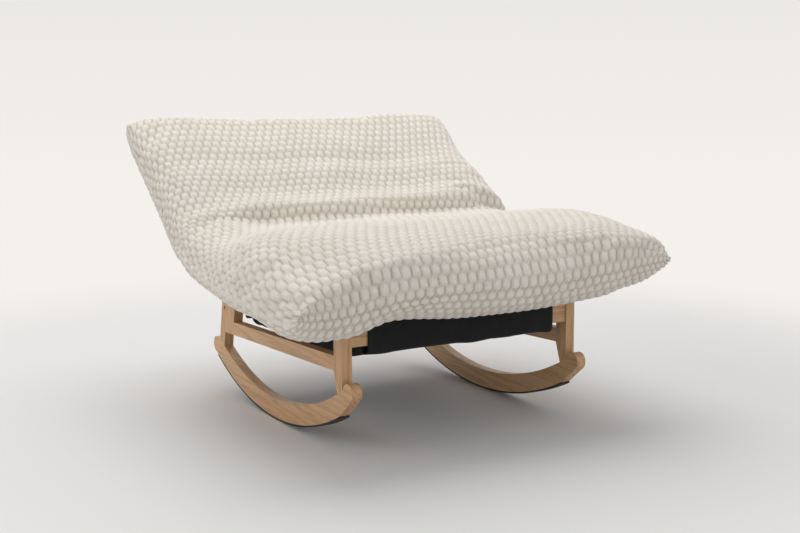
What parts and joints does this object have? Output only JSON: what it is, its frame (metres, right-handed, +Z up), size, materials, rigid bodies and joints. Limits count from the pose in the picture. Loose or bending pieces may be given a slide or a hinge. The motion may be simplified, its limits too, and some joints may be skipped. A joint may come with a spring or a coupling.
{
  "type": "rocking chair",
  "caption": "Double width padded rocking chair on two curved wooden runners, with a deep bubble-plush seat and a reclining backrest on friction hinges.",
  "frame": {"origin": "point on the floor midway between the two rolling contacts of the runners, with the chair level at rest", "axes": "+X to the chair's right as seen from the front, +Y towards the back, +Z up"},
  "size_m": [1.124, 1.2127, 0.8134],
  "materials": {
    "wood": "clear satin lacquer on pale ash or rubberwood",
    "runner_strip": "dark anti-slip strip",
    "black_cloth": "black non-woven cloth",
    "bag_cloth": "black non-woven bag",
    "webbing": "black woven webbing",
    "plush": "ivory bubble-plush velvet",
    "painted_steel": "black powder coat",
    "zinc": "zinc plated",
    "friction": "fibre friction disc"
  },
  "bodies": {
    "base": {"left_runner": "wood", "right_runner": "wood", "left_runner_strip": "runner_strip", "right_runner_strip": "runner_strip", "left_front_post": "wood", "right_front_post": "wood", "left_rear_post": "wood", "right_rear_post": "wood", "left_side_rail": "wood", "right_side_rail": "wood", "front_cross_rail": "wood", "rear_cross_rail": "wood", "frame_dowels": "wood", "cross_rail_bolts": "zinc", "barrel_nuts": "zinc", "seat_frame": "painted_steel", "hold_down_bolts": "zinc", "left_hinge_bracket": "painted_steel", "right_hinge_bracket": "painted_steel", "bracket_bolts": "zinc", "bracket_nuts": "zinc", "friction_discs": "friction", "hinge_bolts": "zinc", "hinge_nuts": "zinc", "front_rail_cloth": "black_cloth", "rear_rail_cloth": "black_cloth", "bag_straps": "webbing", "seat_bag": "bag_cloth", "seat_cushion": "plush"},
    "backrest": {"left_hinge_arm": "painted_steel", "right_hinge_arm": "painted_steel", "arm_bolts": "zinc", "arm_nuts": "zinc", "back_frame": "painted_steel", "back_straps": "webbing", "back_cushion": "plush", "back_panel": "plush"}
  },
  "joints": [
    {"name": "backrest_recline", "type": "hinge", "parent": "base", "child": "backrest", "pos_m": [0, 0.172, 0.382], "axis": [1, 0, 0], "range_deg": [-38, 25]}
  ]
}
